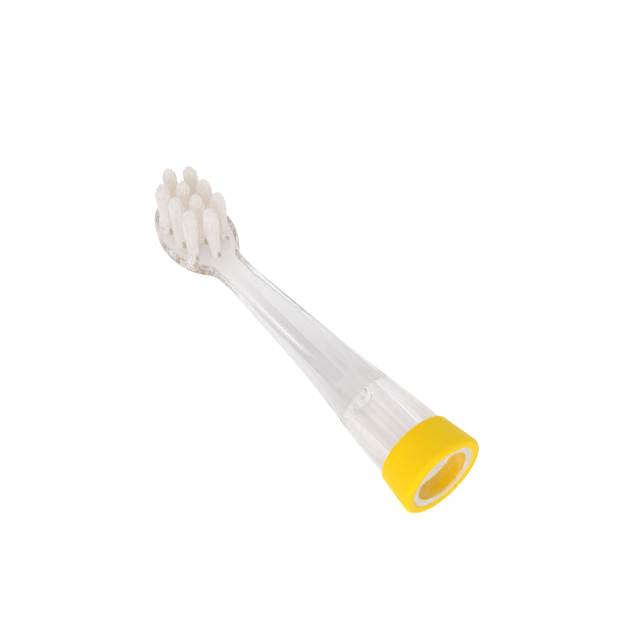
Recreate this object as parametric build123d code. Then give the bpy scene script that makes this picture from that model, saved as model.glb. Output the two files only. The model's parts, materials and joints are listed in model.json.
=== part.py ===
from build123d import *
import os
from math import asin, atan2, degrees, hypot, radians, sqrt, tan

# Electric toothbrush head: a clear moulding with stapled bristle tufts, and a ring pushed over its base.
# It is modelled along X, from the socket's mouth at x = 0 to the tip, with the bristles along +Z.
# It is then placed with the socket's step at the origin, where the handle's collar stops,
# and tilted until it lies on its back on a level surface.
# Sizes are in millimetres.

# Overall
total_length = 71.8

# Socket that goes over the handle's drive shaft
collar_bore_radius = 4.9
collar_bore_depth = 3.1
drive_bore_radius = 3.2
drive_bore_depth = 18.3
core_mark_radius = 0.5
core_mark_depth = 0.3
mouth_chamfer = 0.25

# Base of the clear moulding, round about the socket
collar_wall = 1.15
socket_floor_wall = 2.1
shoulder_step = 0.3
bell_length = 5.4
bell_drop = 0.33

# Ring over the base
ring_length = 6.95
ring_overhang = 0.2
ring_end_wall = 1.72
ring_top_wall = 0.72
ring_end_fillet = 0.7
ring_top_fillet = 0.4
ring_bore_chamfer = 0.15
ring_clearance = 0.03
snap_from_mouth = 3.6
snap_width = 1.2
snap_height = 0.18
gate_notch_width = 0.3
gate_notch_depth = 0.2
gate_notch_angle = 245.0

# Neck: a bar with a flat top, upright sides and a back that slopes up from a narrow flat.
# It is nearly round where it leaves the socket, and gets slimmer and sharper up to the head.
back_flat = 2.1
base_slope = 12.0
shaft_width = 7.7
shaft_height = 7.2
shaft_top_corner = 1.6
shaft_slope = 31.0
shaft_back_corner = 1.2
bar_width = 6.3
bar_height = 5.3
bar_top_corner = 0.8
bar_slope = 35.0
bar_back_corner = 0.7
neck_end_width = 5.2
neck_end_slope = 10.0
root_length = 4.2

# Head plate
head_length = 17.8
head_width = 12.1
head_thickness = 3.85
head_top = 1.35
top_edge_radius = 0.5
back_edge_radius = 1.4
root_radius = 4.0

# Tufts and the holes that hold them
tuft_pitch = 3.7
pattern_from_tip = 8.6
hole_radius = 0.9
hole_depth = 3.2
tuft_clearance = 0.03
tuft_height = 10.6
tuft_radius = 1.25
tuft_tip = 2.9
tip_fullness = 0.55
tuft_lean = 1.6

# Anchors that hold the folded tufts down
anchor_thickness = 0.3
anchor_height = 1.4
anchor_bite = 0.4
fold_thickness = 0.35

# Places worked out from the sizes
seat_radius = collar_bore_radius + collar_wall
shoulder_radius = seat_radius + shoulder_step
ring_bore_radius = seat_radius + ring_clearance
head_centre = total_length - head_length / 2
head_back = head_top - head_thickness
head_middle = (head_top + head_back) / 2
neck_end = total_length - head_length - root_length
anchor_length = 2 * (hole_radius + anchor_bite)
base_share = 0.985
shaft_share = 0.3
bar_share = 0.65


def turned(*points):
    """A solid of revolution about X from an outline of points (distance along X, radius)."""
    return revolve(make_face(Polyline(*points, close=True)), Axis.X)


def neck_section(x, width, height, top_corner, slope, back_corner, middle):
    """A section across the neck, with rounded corners above and below its sides and a sharp-edged back flat."""
    side = width / 2
    bilge = (side - back_flat / 2) * tan(radians(slope)) - height / 2
    section = make_face(Polyline(
        (side, bilge), (side, height / 2), (-side, height / 2), (-side, bilge),
        (-back_flat / 2, -height / 2), (back_flat / 2, -height / 2), close=True,
    ))
    section = fillet(section.vertices().group_by(Axis.Y)[1], back_corner)
    section = fillet(section.vertices().group_by(Axis.Y)[-1], top_corner)
    return Plane((x, 0, middle), x_dir=(0, 1, 0), z_dir=(1, 0, 0)) * section


def base_shell():
    """The round outside over the socket, from the ring's shoulder to the socket's floor."""
    floor_radius = drive_bore_radius + socket_floor_wall
    flank = Spline(
        (ring_length, shoulder_radius),
        (ring_length + bell_length, shoulder_radius - bell_drop),
        (drive_bore_depth, floor_radius),
    )
    ends = Polyline((drive_bore_depth, floor_radius), (drive_bore_depth, 0), (ring_length, 0),
                    (ring_length, shoulder_radius))
    return revolve(make_face(flank + ends), Axis.X)


def neck():
    """The bar from the socket's floor to the head."""
    base = 2 * (drive_bore_radius + socket_floor_wall)
    base_corner = base_share * base / 2
    free_length = neck_end - drive_bore_depth
    return loft([
        neck_section(drive_bore_depth, base, base, base_corner, base_slope, base_corner, 0),
        neck_section(drive_bore_depth + shaft_share * free_length, shaft_width, shaft_height,
                     shaft_top_corner, shaft_slope, shaft_back_corner, shaft_share * head_middle),
        neck_section(drive_bore_depth + bar_share * free_length, bar_width, bar_height,
                     bar_top_corner, bar_slope, bar_back_corner, bar_share * head_middle),
        neck_section(neck_end, neck_end_width, head_thickness,
                     top_edge_radius, neck_end_slope, back_edge_radius, head_middle),
    ])


def head_plate():
    """The oval plate and the tongue that joins it to the neck, with hollow roots and rounded rims."""
    plate = Pos(head_centre, 0) * Ellipse(head_length / 2, head_width / 2)
    tongue = Pos(neck_end, 0) * Rectangle(head_centre - neck_end, neck_end_width, align=(Align.MIN, Align.CENTER))
    head = extrude(Pos(0, 0, head_back) * (plate + tongue), head_thickness)
    roots = head.edges().filter_by(Axis.Z).filter_by_position(Axis.X, neck_end, head_centre, (False, True))
    head = fillet(roots, root_radius)
    for face, radius in ((-1, top_edge_radius), (0, back_edge_radius)):
        rim = head.faces().filter_by(Axis.Z).sort_by(Axis.Z)[face].edges()
        head = fillet(rim.filter_by_position(Axis.X, neck_end, total_length, (False, True)), radius)
    return head


def snap_band(rim_radius, clearance):
    """The band in which the ring snaps on: its bead with no clearance, or the groove in the seat."""
    half = snap_width / 2 + clearance
    crest = seat_radius - snap_height - clearance
    return turned(
        (snap_from_mouth - half, rim_radius),
        (snap_from_mouth - half / 2, crest),
        (snap_from_mouth + half / 2, crest),
        (snap_from_mouth + half, rim_radius),
    )


def socket():
    """The hollow in the base: a wide collar seat at the mouth and a narrower bore for the drive shaft."""
    return turned(
        (0, 0),
        (0, collar_bore_radius + mouth_chamfer),
        (mouth_chamfer, collar_bore_radius),
        (collar_bore_depth, collar_bore_radius),
        (collar_bore_depth, drive_bore_radius),
        (drive_bore_depth, drive_bore_radius),
        (drive_bore_depth, core_mark_radius),
        (drive_bore_depth + core_mark_depth, 0),
    )


def tuft_hole(foot):
    """A blind hole along the tuft's own axis, open through the bristle face."""
    drilled = Cylinder(hole_radius, hole_depth + hole_radius, align=(Align.CENTER, Align.CENTER, Align.MIN))
    return foot * Pos(0, 0, -hole_depth) * drilled


def anchor(foot):
    """A flat strip across the hole, driven into the plate at both ends."""
    strip = Box(anchor_length, anchor_thickness, anchor_height)
    return foot * Pos(0, 0, fold_thickness + anchor_height / 2 - hole_depth) * strip


def tuft(foot):
    """A folded bundle of filament: straight in its hole, then spreading up to a domed tip."""
    foot_radius = hole_radius - tuft_clearance
    spread_height = tuft_height - tuft_tip
    outline = (
        Polyline((0, tuft_height), (0, -hole_depth), (foot_radius, -hole_depth), (foot_radius, 0))
        + Line((foot_radius, 0), (tuft_radius, spread_height))
        + Bezier(
            (tuft_radius, spread_height),
            (tuft_radius, spread_height + tip_fullness * tuft_tip),
            (tip_fullness * tuft_radius, tuft_height),
            (0, tuft_height),
        )
    )
    bundle = revolve(Plane.XZ * make_face(outline), Axis.Z)
    return foot * bundle - anchor(foot)


def tuft_places():
    """Name and foot of each tuft: three rows along the plate, the outer two leaning in to the middle."""
    row_spacing = tuft_pitch * sqrt(3) / 2
    for row, side, count in (("right", -1, 3), ("middle", 0, 4), ("left", 1, 3)):
        for number in range(count):
            along = (number - (count - 1) / 2) * tuft_pitch
            place = Pos(total_length - pattern_from_tip + along, side * row_spacing, head_top)
            yield f"{row}_{number + 1}", place * Rot(side * tuft_lean, 0, 0)


def brush_body():
    """The clear moulding: base, neck and head plate in one piece, with its socket and tuft holes."""
    seat = turned((0, 0), (0, seat_radius), (ring_length, seat_radius), (ring_length, 0))
    body = seat + base_shell() + neck() + head_plate() - socket() - snap_band(seat_radius, ring_clearance)
    for _, foot in tuft_places():
        body -= tuft_hole(foot) + anchor(foot)
    return body


def base_ring():
    """The conical ring, with rounded edges, a bead in its bore and a moulding notch across its end."""
    outline = make_face(Polyline(
        (ring_bore_chamfer - ring_overhang, ring_bore_radius),
        (-ring_overhang, ring_bore_radius + ring_bore_chamfer),
        (-ring_overhang, ring_bore_radius + ring_end_wall),
        (ring_length, ring_bore_radius + ring_top_wall),
        (ring_length, ring_bore_radius),
        close=True,
    ))
    rims = outline.vertices().sort_by(Axis.Y)[-2:]
    outline = fillet(rims.sort_by(Axis.X)[0], ring_end_fillet)
    rims = outline.vertices().filter_by_position(Axis.X, ring_length, ring_length).sort_by(Axis.Y)
    outline = fillet(rims[-1], ring_top_fillet)
    ring = revolve(outline, Axis.X) + snap_band(ring_bore_radius, 0)
    notch = Box(gate_notch_depth, 2 * ring_end_wall, gate_notch_width,
                align=(Align.MIN, Align.MIN, Align.CENTER))
    return ring - Rot(gate_notch_angle, 0, 0) * Pos(-ring_overhang, ring_bore_radius, 0) * notch


def rest_tilt():
    """Angle of the level line that touches the ring's end edge and the back edge of the tip."""
    slope = (ring_top_wall - ring_end_wall) / (ring_length + ring_overhang)
    end_radius = ring_bore_radius + ring_end_wall
    ring_edge = -(end_radius + slope * ring_end_fillet - ring_end_fillet * hypot(1, slope))
    run = total_length - back_edge_radius - ring_end_fillet + ring_overhang
    rise = head_back + back_edge_radius - ring_edge
    reach = hypot(run, rise)
    return degrees(atan2(rise, run) + asin((ring_end_fillet - back_edge_radius) / reach))


def pieces():
    """Every piece by name, still along X."""
    yield "brush_body", brush_body()
    yield "base_ring", base_ring()
    for name, foot in tuft_places():
        yield f"tuft_{name}", tuft(foot)
    yield "anchor_staples", Compound([anchor(foot) for _, foot in tuft_places()])


os.makedirs("parts", exist_ok=True)
lying = Rot(0, rest_tilt(), 0) * Pos(-collar_bore_depth, 0, 0)
for node, piece in pieces():
    export_step(lying * piece, f"parts/{node}.step")
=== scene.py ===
import json
from math import asin, cos, pi, radians, sin, sqrt

import bpy
import numpy as np
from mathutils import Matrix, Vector


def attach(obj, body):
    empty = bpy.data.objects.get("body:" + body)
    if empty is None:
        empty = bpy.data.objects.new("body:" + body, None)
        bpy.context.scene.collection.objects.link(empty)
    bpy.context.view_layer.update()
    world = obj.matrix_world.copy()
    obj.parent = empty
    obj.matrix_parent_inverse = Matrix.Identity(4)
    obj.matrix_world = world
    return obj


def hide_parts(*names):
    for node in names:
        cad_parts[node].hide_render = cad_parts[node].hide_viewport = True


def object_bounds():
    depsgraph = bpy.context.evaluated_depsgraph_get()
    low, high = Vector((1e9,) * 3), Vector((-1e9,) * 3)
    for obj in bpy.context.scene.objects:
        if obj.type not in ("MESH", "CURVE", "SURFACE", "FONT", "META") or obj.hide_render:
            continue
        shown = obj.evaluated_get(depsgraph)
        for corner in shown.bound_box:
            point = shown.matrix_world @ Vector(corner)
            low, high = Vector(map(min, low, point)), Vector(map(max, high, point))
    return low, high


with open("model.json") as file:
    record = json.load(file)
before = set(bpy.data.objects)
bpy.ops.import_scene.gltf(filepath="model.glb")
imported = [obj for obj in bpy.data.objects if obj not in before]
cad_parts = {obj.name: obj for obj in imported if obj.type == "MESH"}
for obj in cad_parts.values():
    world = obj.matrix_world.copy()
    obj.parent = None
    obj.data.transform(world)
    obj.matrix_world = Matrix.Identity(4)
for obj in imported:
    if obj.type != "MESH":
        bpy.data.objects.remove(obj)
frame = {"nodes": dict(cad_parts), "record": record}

cad_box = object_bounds()

# Sizes are in metres, and a size that is known in millimetres is written times mm
mm = 0.001

# Camera, placed as the photograph was taken
photo_pixels = 632
sensor_width = 36.0
focal_pixels = 1800.0
camera_azimuth = radians(230.17)
camera_elevation = radians(59.65)
camera_distance = 294.7 * mm
camera_aim = Vector((31.98, -3.49, 0.0)) * mm
camera_near = 10 * mm

# The brush's own directions, from the socket's mount: along it to the tip, across it, and up the bristles
socket = next(m for m in frame["record"]["mounts"] if m["name"] == "drive_socket")
along = -Vector(socket["axis"]).normalized()
across = Vector((0.0, 1.0, 0.0))
upward = along.cross(across)
lie_angle = asin(-along.z)

# Places along the brush, from the step in the socket
mouth = -3.1 * mm
socket_floor = 15.3 * mm
neck_end = 46.7 * mm

# Flow lines, streaks and haze of the clear moulding
flow_length = 25 * mm
flow_width = 0.7 * mm
flow_height = 0.05 * mm
flow_strength = 0.03
streak_start = 0.4
streak_full = 0.65
haze_size = 4 * mm
haze_roughness = 0.01

# Matt rim of the clear moulding: how far from the mouth it is fully matt, and where it has become clear
rim_matt = 0.15 * mm
rim_clear = 0.35 * mm
rim_roughness = 0.4
rim_clearness = 0.85

# Painted shadow: a grey strip down the back of the neck where the floor's shadow shows through, whole near
# its middle and faded out at its reach
shadow_strip_half = 0.68 * mm
shadow_strip_top = -1.5 * mm
shadow_strip_middle = 33 * mm
shadow_strip_whole = 3 * mm
shadow_strip_reach = 17 * mm

# Share of the light that a surface of the solid neck and of the head passes on to the floor and other pieces
neck_passed = 0.78
head_passed = 0.97

# Grain of the other finishes
ring_grain = 0.35 * mm
ring_grain_height = 0.02 * mm
nylon_tone = 1.5 * mm
brass_grain = 0.3 * mm

# Filaments, each folded once round its anchor, and drawn fewer and thicker than real ones so that they show
filaments_per_tuft = 70
filament_radius = 0.075 * mm
filament_sides = 6
filament_end_share = 0.6
filament_end_reach = 0.7
free_steps = 8

# Foot of a tuft, in its hole and round its anchor
hole_depth = 3.2 * mm
foot_radius = 0.87 * mm
anchor_half = 0.15 * mm
anchor_rise = 1.75 * mm
fold_rise = 0.35 * mm
bend_share = 0.7
bend_rise = 0.05 * mm

# Crown of a tuft
crown_radius = 1.22 * mm
crown_height = 2.9 * mm
crown_flatness = 2.6
crown_fullness = 0.6

# Slope of each crown, as rise per length along and across the brush
crown_slopes = {
    "right_3": (0.0, 0.45), "right_2": (-0.1, 0.1), "right_1": (-0.2, -0.1),
    "middle_4": (0.0, 0.0), "middle_3": (0.0, 0.0), "middle_2": (0.0, 0.0), "middle_1": (0.0, 0.1),
    "left_3": (0.0, -0.2), "left_2": (0.0, -0.2), "left_1": (0.0, -0.2),
}

# Spread of the filaments, which makes each a little different
golden_angle = pi * (3 - sqrt(5))
turn_scatter = 0.2
place_scatter = (0.2, 0.8)
end_scatter = 0.16 * mm
lean_scatter = 0.07 * mm

# Bands at the ends of a tuft's solid in which its axis is found
foot_band = 0.25 * mm
tip_band = 0.02 * mm

# Floor, and the white that it shows to the camera and in mirrored and refracted rays
floor_size = 20.0
floor_level = cad_box[0].z
floor_glow = 0.4
mirrored_glow = 0.03

# Tent, with a grey card whose edges are cosines from its middle, and a white foot given by a ray's rise
tent_dim = 0.74
tent_bright = 1.04
bright_side = Vector((-0.3, 0.88, 0.35)).normalized()
card_side = Vector((0.45, 0.87, 0.2)).normalized()
card_edge = 0.93
card_whole = 0.955
card_shade = 0.25
foot_whole = 0.10
foot_top = 0.16

# Lamp beside the object
lamp_place = Vector((-0.22, 0.40, 0.20))
lamp_size = 0.35
lamp_power = 0.8

# Light runs a long way inside the clear moulding before it leaves
clear_bounces = 128
diffuse_bounces = 16


def linear(hex_colour):
    """An sRGB hex colour as the linear colour that a shader takes."""
    parts = [int(hex_colour[i:i + 2], 16) / 255 for i in (1, 3, 5)]
    return [c / 12.92 if c <= 0.04045 else ((c + 0.055) / 1.055) ** 2.4 for c in parts] + [1.0]


def add_node(tree, kind, inputs, **settings):
    """A node with its settings. Each input, by name or number, is a value, or a node or output to link."""
    made = tree.nodes.new(kind)
    for name, value in settings.items():
        setattr(made, name, value)
    for name, value in inputs.items():
        if isinstance(value, bpy.types.Node):
            value = value.outputs[0]
        if isinstance(value, bpy.types.NodeSocket):
            tree.links.new(value, made.inputs[name])
        else:
            made.inputs[name].default_value = value
    return made


def new_material(name):
    """A material with an empty node tree, and that tree."""
    made = bpy.data.materials.new(name)
    made.use_nodes = True
    made.node_tree.nodes.clear()
    return made, made.node_tree


def flow_streaks(tree, flow, lengthways):
    """How strong a streak of the flow is: whole in the base, and dying out along the neck."""
    streaks = add_node(tree, "ShaderNodeMapRange", {
        "Value": flow, "From Min": streak_start, "From Max": streak_full})
    dying_out = add_node(tree, "ShaderNodeMapRange", {
        "Value": lengthways, "From Min": socket_floor, "From Max": neck_end, "To Min": 1.0, "To Max": 0.0})
    return add_node(tree, "ShaderNodeMath", {0: streaks, 1: dying_out}, operation="MULTIPLY")


def painted_shadow_strip(tree, lengthways, sideways, height):
    """How strong the painted shadow strip down the back of the neck is, fading towards both of its ends."""
    from_side = add_node(tree, "ShaderNodeMath", {0: sideways}, operation="ABSOLUTE")
    within = add_node(tree, "ShaderNodeMath", {0: from_side, 1: shadow_strip_half}, operation="LESS_THAN")
    below = add_node(tree, "ShaderNodeMath", {0: height, 1: shadow_strip_top}, operation="LESS_THAN")
    # Painted shadow: the floor's shade under the neck, put on the narrow flat of its back
    strip = add_node(tree, "ShaderNodeMath", {0: within, 1: below}, operation="MULTIPLY")
    from_middle = add_node(tree, "ShaderNodeMath", {0: lengthways, 1: shadow_strip_middle}, operation="SUBTRACT")
    from_middle = add_node(tree, "ShaderNodeMath", {0: from_middle}, operation="ABSOLUTE")
    fading = add_node(tree, "ShaderNodeMapRange", {
        "Value": from_middle, "From Min": shadow_strip_whole, "From Max": shadow_strip_reach, "To Min": 1.0, "To Max": 0.0})
    return add_node(tree, "ShaderNodeMath", {0: strip, 1: fading}, operation="MULTIPLY")


# Clear copolyester, injection moulded and polished: water-clear, with faint flow lines, streaks in the base,
# a matt rim at the mouth, and a greyer strip down the flat back of the neck that is painted shadow.
# Light on its way to other pieces goes straight through it, and the solid neck dims the floor beneath
def moulded_clear_copolyester():
    made, tree = new_material("moulded_clear_copolyester")
    place = add_node(tree, "ShaderNodeTexCoord", {}).outputs["Object"]
    lengthways, sideways, height = [
        add_node(tree, "ShaderNodeVectorMath", {0: place, 1: axis}, operation="DOT_PRODUCT").outputs["Value"]
        for axis in (along, across, upward)]
    drawn_out = add_node(tree, "ShaderNodeMapping", {
        "Vector": place, "Rotation": (0.0, lie_angle, 0.0), "Scale": (flow_length, flow_width, flow_width)},
        vector_type="TEXTURE")
    flow = add_node(tree, "ShaderNodeTexNoise", {"Vector": drawn_out, "Scale": 1.0, "Detail": 2.0})
    flow_lines = add_node(tree, "ShaderNodeBump", {
        "Height": flow, "Strength": flow_strength, "Distance": flow_height})
    haze = add_node(tree, "ShaderNodeTexNoise", {"Vector": place, "Scale": 1 / haze_size, "Detail": 3.0})
    gloss = add_node(tree, "ShaderNodeMapRange", {"Value": haze, "To Min": 0.0, "To Max": haze_roughness})
    matt = add_node(tree, "ShaderNodeMapRange", {
        "Value": lengthways, "From Min": mouth + rim_clear, "From Max": mouth + rim_matt,
        "To Min": 0.0, "To Max": rim_roughness})
    gloss = add_node(tree, "ShaderNodeMath", {0: gloss, 1: matt}, operation="ADD")
    clearness = add_node(tree, "ShaderNodeMapRange", {
        "Value": matt, "From Max": rim_roughness, "To Min": 1.0, "To Max": rim_clearness})
    streaks = flow_streaks(tree, flow, lengthways)
    strip = painted_shadow_strip(tree, lengthways, sideways, height)
    tint = add_node(tree, "ShaderNodeMix", {
        0: streaks, 6: linear("#FFFFFF"), 7: linear("#F6F4F4")}, data_type="RGBA")
    # Painted shadow: the strip greys the colour of the neck's back towards #DEDBDC, where the floor's shadow
    # shows through
    tint = add_node(tree, "ShaderNodeMix", {
        0: strip, 6: tint.outputs[2], 7: linear("#DEDBDC")}, data_type="RGBA")
    shader = add_node(tree, "ShaderNodeBsdfPrincipled", {
        "Base Color": tint.outputs[2], "Roughness": gloss, "IOR": 1.57,
        "Transmission Weight": clearness, "Normal": flow_lines})
    passed = add_node(tree, "ShaderNodeMapRange", {
        "Value": lengthways, "From Min": socket_floor, "From Max": neck_end,
        "To Min": neck_passed, "To Max": head_passed})
    hollow = add_node(tree, "ShaderNodeMath", {0: lengthways, 1: socket_floor}, operation="LESS_THAN")
    passed = add_node(tree, "ShaderNodeMath", {0: passed, 1: hollow}, operation="MAXIMUM")
    let_through = add_node(tree, "ShaderNodeBsdfTransparent", {"Color": passed})
    path = add_node(tree, "ShaderNodeLightPath", {})
    for ray in ("Is Shadow Ray", "Is Diffuse Ray"):
        shader = add_node(tree, "ShaderNodeMixShader", {0: path.outputs[ray], 1: shader, 2: let_through})
    body = add_node(tree, "ShaderNodeVolumeAbsorption", {"Color": linear("#D6D6D7"), "Density": 4.0})
    add_node(tree, "ShaderNodeOutputMaterial", {"Surface": shader, "Volume": body})
    return made


# Yellow polypropylene, injection moulded with a satin finish: even strong colour with a soft broad shine.
# The grain of the mould is finer than this on a real ring, and is drawn coarser so that it shows
def moulded_yellow_polypropylene():
    made, tree = new_material("moulded_yellow_polypropylene")
    place = add_node(tree, "ShaderNodeTexCoord", {}).outputs["Object"]
    grain = add_node(tree, "ShaderNodeTexNoise", {"Vector": place, "Scale": 1 / ring_grain, "Detail": 4.0})
    bump = add_node(tree, "ShaderNodeBump", {
        "Height": grain, "Strength": 0.06, "Distance": ring_grain_height})
    shader = add_node(tree, "ShaderNodeBsdfPrincipled", {
        "Base Color": linear("#ECC80C"), "Roughness": 0.42, "IOR": 1.49, "Specular IOR Level": 0.1,
        "Normal": bump, "Subsurface Weight": 1.0, "Subsurface Radius": (1.0, 0.7, 0.05),
        "Subsurface Scale": 1.0 * mm})
    add_node(tree, "ShaderNodeOutputMaterial", {"Surface": shader})
    return made


# Nylon filament, drawn and end-rounded: off-white and milky, with a soft shine along each filament.
# Light that a filament would shade goes on almost undimmed, so the gaps between filaments stay pale
def drawn_nylon():
    made, tree = new_material("drawn_nylon")
    place = add_node(tree, "ShaderNodeTexCoord", {}).outputs["Object"]
    tone = add_node(tree, "ShaderNodeTexNoise", {"Vector": place, "Scale": 1 / nylon_tone, "Detail": 3.0})
    colour = add_node(tree, "ShaderNodeMix", {
        0: tone, 6: linear("#EFEEED"), 7: linear("#F4F3F2")}, data_type="RGBA").outputs[2]
    shader = add_node(tree, "ShaderNodeBsdfPrincipled", {"Base Color": colour, "Roughness": 0.4, "IOR": 1.53})
    milky = add_node(tree, "ShaderNodeBsdfTranslucent", {"Color": colour})
    lit = add_node(tree, "ShaderNodeMixShader", {0: 0.5, 1: shader, 2: milky})
    let_through = add_node(tree, "ShaderNodeBsdfTransparent", {"Color": linear("#FEFDFC")})
    path = add_node(tree, "ShaderNodeLightPath", {})
    lit = add_node(tree, "ShaderNodeMixShader", {0: path.outputs["Is Shadow Ray"], 1: lit, 2: let_through})
    add_node(tree, "ShaderNodeOutputMaterial", {"Surface": lit})
    return made


# Brass strip, rolled and cut: golden brown, with a dulled skin that scatters more than it mirrors.
# Its dull patches are finer in a real strip, and are drawn coarser so that they show
def cut_brass_strip():
    made, tree = new_material("cut_brass_strip")
    place = add_node(tree, "ShaderNodeTexCoord", {}).outputs["Object"]
    patches = add_node(tree, "ShaderNodeTexNoise", {"Vector": place, "Scale": 1 / brass_grain, "Detail": 3.0})
    gloss = add_node(tree, "ShaderNodeMapRange", {"Value": patches, "To Min": 0.4, "To Max": 0.6})
    shader = add_node(tree, "ShaderNodeBsdfPrincipled", {
        "Base Color": linear("#EAD3A2"), "Metallic": 0.1, "Roughness": gloss})
    add_node(tree, "ShaderNodeOutputMaterial", {"Surface": shader})
    return made


# White paper: lit like the rest, and seen as white past the object's own shadow
def floor_paper():
    made, tree = new_material("floor_paper")
    path = add_node(tree, "ShaderNodeLightPath", {})
    mirrored = add_node(tree, "ShaderNodeMath", {
        0: path.outputs["Is Glossy Ray"], 1: path.outputs["Is Transmission Ray"]},
        operation="ADD", use_clamp=True)
    glow = add_node(tree, "ShaderNodeMath", {0: mirrored, 1: mirrored_glow}, operation="MULTIPLY")
    glow = add_node(tree, "ShaderNodeMath", {
        0: path.outputs["Is Camera Ray"], 1: floor_glow, 2: glow}, operation="MULTIPLY_ADD")
    shader = add_node(tree, "ShaderNodeBsdfPrincipled", {
        "Base Color": linear("#EDEBEC"), "Roughness": 0.9, "Specular IOR Level": 0.0,
        "Emission Color": linear("#FFFFFF"), "Emission Strength": glow})
    add_node(tree, "ShaderNodeOutputMaterial", {"Surface": shader})
    return made


def crown(share):
    """Height of the crown over its rim, as a share, at a share of the tuft's radius."""
    return (1 - share ** crown_flatness) ** crown_fullness


def tuft_axis(name):
    """Middle of the hole's floor, the direction up the tuft and its whole length, from its CAD solid."""
    points = np.array([v.co for v in frame["nodes"][name].data.vertices])
    height = points @ np.array(upward)
    low = points[height < height.min() + foot_band].mean(0)
    tip = points[height > height.max() - tip_band].mean(0)
    length = np.linalg.norm(tip - low)
    return Vector(low), Vector((tip - low) / length), length


def filament_line(turn, share, slope, total, rng):
    """Points of one half of a folded filament, from its fold up to its end, about the tuft's own axis."""
    direction = np.array([cos(turn), sin(turn)])
    foot = share * foot_radius * direction
    gap = anchor_half + filament_radius
    room = sqrt(max(foot_radius ** 2 - foot[0] ** 2, gap ** 2))
    pinched = np.array([foot[0], gap + foot[1] * (room - gap) / room])
    fold_level = fold_rise - filament_radius - (fold_rise - 2 * filament_radius) * pinched[1] / foot_radius
    free = total - hole_depth
    end = hole_depth + free - crown_height + crown_height * crown(share)
    spread = share * crown_radius * direction + rng.normal(0, lean_scatter, 2)
    end += float(np.dot(slope, spread)) + rng.uniform(-1, 0) * end_scatter
    points = [
        (pinched[0], 0.0, fold_level),
        (pinched[0], bend_share * pinched[1], fold_level + bend_rise),
        (pinched[0], pinched[1], fold_rise),
        (pinched[0], pinched[1], anchor_rise),
        (foot[0], foot[1], hole_depth),
    ]
    for step in range(1, free_steps + 1):
        height = hole_depth + (end - hole_depth) * step / free_steps
        opened = min((height - hole_depth) / (free - crown_height), 1.0)
        here = foot + (spread - foot) * opened
        points.append((here[0], here[1], height))
    return points


def swept(points, radius, sides):
    """Rings of vertices along a line of points, closed at both ends by a smaller ring and a point."""
    points = np.array(points)
    tangents = np.gradient(points, axis=0)
    tangents /= np.linalg.norm(tangents, axis=1)[:, None]
    angles = 2 * pi * np.arange(sides) / sides
    normal = np.array([1.0, 0.0, 0.0])
    rings = []
    for point, tangent in zip(points, tangents):
        normal = normal - tangent * (normal @ tangent)
        normal /= np.linalg.norm(normal)
        side = np.cross(tangent, normal)
        rings.append(point + radius * (np.cos(angles)[:, None] * normal + np.sin(angles)[:, None] * side))
    first = points[0] + filament_end_share * (rings[0] - points[0])
    last = points[-1] + filament_end_share * (rings[-1] - points[-1])
    rings.insert(0, first - filament_end_reach * radius * tangents[0])
    rings.append(last + filament_end_reach * radius * tangents[-1])
    ends = [points[:1] - radius * tangents[:1], points[-1:] + radius * tangents[-1:]]
    count = len(rings) * sides
    faces = []
    for start in range(0, count - sides, sides):
        for k in range(sides):
            after = (k + 1) % sides
            faces.append((start + k, start + after, start + sides + after, start + sides + k))
    for k in range(sides):
        after = (k + 1) % sides
        faces.append((after, k, count))
        faces.append((count - sides + k, count - sides + after, count + 1))
    return np.vstack(rings + ends), faces


def tuft(name, seed, finish):
    """A bundle of filaments in place of the tuft's CAD solid."""
    rng = np.random.default_rng(seed)
    hole_floor, up, total = tuft_axis(f"tuft_{name}")
    side = up.cross(along).normalized()
    own_axes = np.array([side.cross(up), side, up])
    slope = np.array(crown_slopes[name])
    vertices, faces, count = [], [], 0
    for number in range(filaments_per_tuft):
        halves = []
        for half in (1, -1):
            share = sqrt((number + rng.uniform(*place_scatter)) / filaments_per_tuft)
            turn = (number * golden_angle + rng.uniform(-turn_scatter, turn_scatter)) % pi
            line = filament_line(turn, share, slope * (1, half), total, rng)
            halves.append([(x, half * y, z) for x, y, z in line])
        line = halves[0][::-1] + halves[1][1:]
        points, rings = swept(line, filament_radius, filament_sides)
        vertices.append(points @ own_axes + np.array(hole_floor))
        faces += [tuple(i + count for i in face) for face in rings]
        count += len(points)
    mesh = bpy.data.meshes.new(f"filaments_{name}")
    mesh.from_pydata(np.vstack(vertices).tolist(), [], faces)
    mesh.polygons.foreach_set("use_smooth", [True] * len(mesh.polygons))
    mesh.materials.append(finish)
    bundle = bpy.data.objects.new(f"filaments_{name}", mesh)
    bpy.context.scene.collection.objects.link(bundle)
    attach(bundle, "root")
    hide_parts(f"tuft_{name}")


def lay_floor():
    """A wide level floor under the object."""
    half = floor_size / 2
    corners = ((-half, -half), (half, -half), (half, half), (-half, half))
    mesh = bpy.data.meshes.new("floor")
    mesh.from_pydata([(x, y, floor_level) for x, y in corners], [], [(0, 1, 2, 3)])
    mesh.materials.append(floor_paper())
    floor = bpy.data.objects.new("floor", mesh)
    bpy.context.scene.collection.objects.link(floor)


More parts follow.
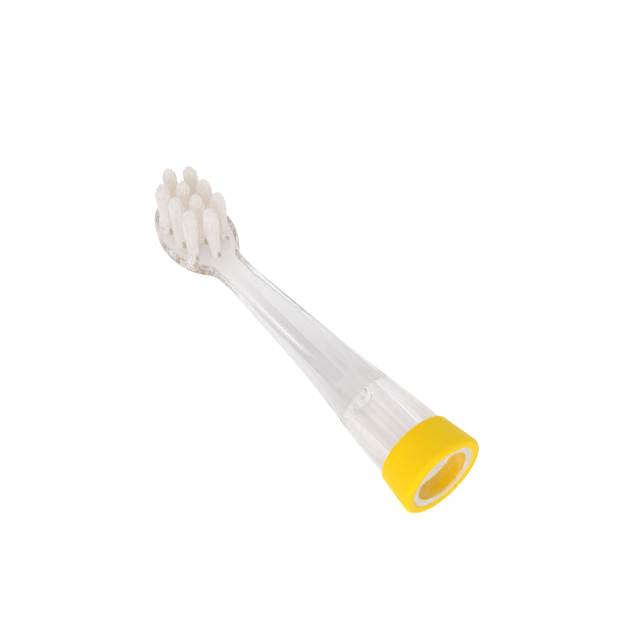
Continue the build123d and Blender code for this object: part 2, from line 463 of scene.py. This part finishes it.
# Soft white tent, brightest on one long side, with a grey card beside the head that edges the clear neck.
# Its foot is as white as the floor, so that no horizon shows
def studio_tent():
    tent = bpy.data.worlds.new("studio_tent")
    tent.use_nodes = True
    tree = tent.node_tree
    tree.nodes.clear()
    ray = add_node(tree, "ShaderNodeTexCoord", {}).outputs["Generated"]
    to_bright, to_card = [
        add_node(tree, "ShaderNodeVectorMath", {0: ray, 1: side}, operation="DOT_PRODUCT").outputs["Value"]
        for side in (bright_side, card_side)]
    level = add_node(tree, "ShaderNodeMapRange", {
        "Value": to_bright, "From Min": -1.0, "From Max": 1.0, "To Min": tent_dim, "To Max": tent_bright})
    card = add_node(tree, "ShaderNodeMapRange", {
        "Value": to_card, "From Min": card_edge, "From Max": card_whole, "To Min": 1.0, "To Max": card_shade})
    level = add_node(tree, "ShaderNodeMath", {0: level, 1: card}, operation="MULTIPLY")
    rise = add_node(tree, "ShaderNodeSeparateXYZ", {0: ray}).outputs["Z"]
    foot = add_node(tree, "ShaderNodeMapRange", {
        "Value": rise, "From Min": foot_whole, "From Max": foot_top, "To Min": 1.0, "To Max": 0.0})
    level = add_node(tree, "ShaderNodeMath", {0: level, 1: foot}, operation="MAXIMUM")
    background = add_node(tree, "ShaderNodeBackground", {"Color": linear("#FFFFFF"), "Strength": level})
    add_node(tree, "ShaderNodeOutputWorld", {"Surface": background})
    return tent


def hang_softbox():
    """A round soft lamp. It isn't mirrored in the object, where it would blank out the clear neck."""
    lamp = bpy.data.lights.new("side_softbox", "AREA")
    lamp.shape = "DISK"
    lamp.size = lamp_size
    lamp.energy = lamp_power
    softbox = bpy.data.objects.new("side_softbox", lamp)
    softbox.visible_glossy = False
    softbox.visible_transmission = False
    softbox.location = lamp_place
    softbox.rotation_euler = (-lamp_place).to_track_quat("-Z", "Y").to_euler()
    bpy.context.scene.collection.objects.link(softbox)


def place_camera():
    """The camera that took the photograph."""
    camera = bpy.data.cameras.new("camera")
    camera.sensor_width = sensor_width
    camera.lens = focal_pixels / photo_pixels * sensor_width
    camera.clip_start = camera_near
    level = cos(camera_elevation)
    back = Vector((sin(camera_azimuth) * level, -cos(camera_azimuth) * level, sin(camera_elevation)))
    viewer = bpy.data.objects.new("camera", camera)
    viewer.location = camera_aim + camera_distance * back
    viewer.rotation_euler = (-back).to_track_quat("-Z", "Y").to_euler()
    bpy.context.scene.collection.objects.link(viewer)
    bpy.context.scene.camera = viewer


# Finishes of the CAD pieces, and filaments in place of the solid tufts
finishes = {
    "brush_body": moulded_clear_copolyester(),
    "base_ring": moulded_yellow_polypropylene(),
    "anchor_staples": cut_brass_strip(),
}
for name, finish in finishes.items():
    mesh = frame["nodes"][name].data
    mesh.materials.clear()
    mesh.materials.append(finish)
nylon = drawn_nylon()
for seed, name in enumerate(crown_slopes):
    tuft(name, seed, nylon)

# Studio
lay_floor()
bpy.context.scene.world = studio_tent()
hang_softbox()
place_camera()
bpy.context.scene.view_settings.view_transform = "Standard"
cycles = bpy.context.scene.cycles
cycles.max_bounces = clear_bounces
cycles.transmission_bounces = clear_bounces
cycles.glossy_bounces = clear_bounces
cycles.diffuse_bounces = diffuse_bounces
cycles.transparent_max_bounces = clear_bounces
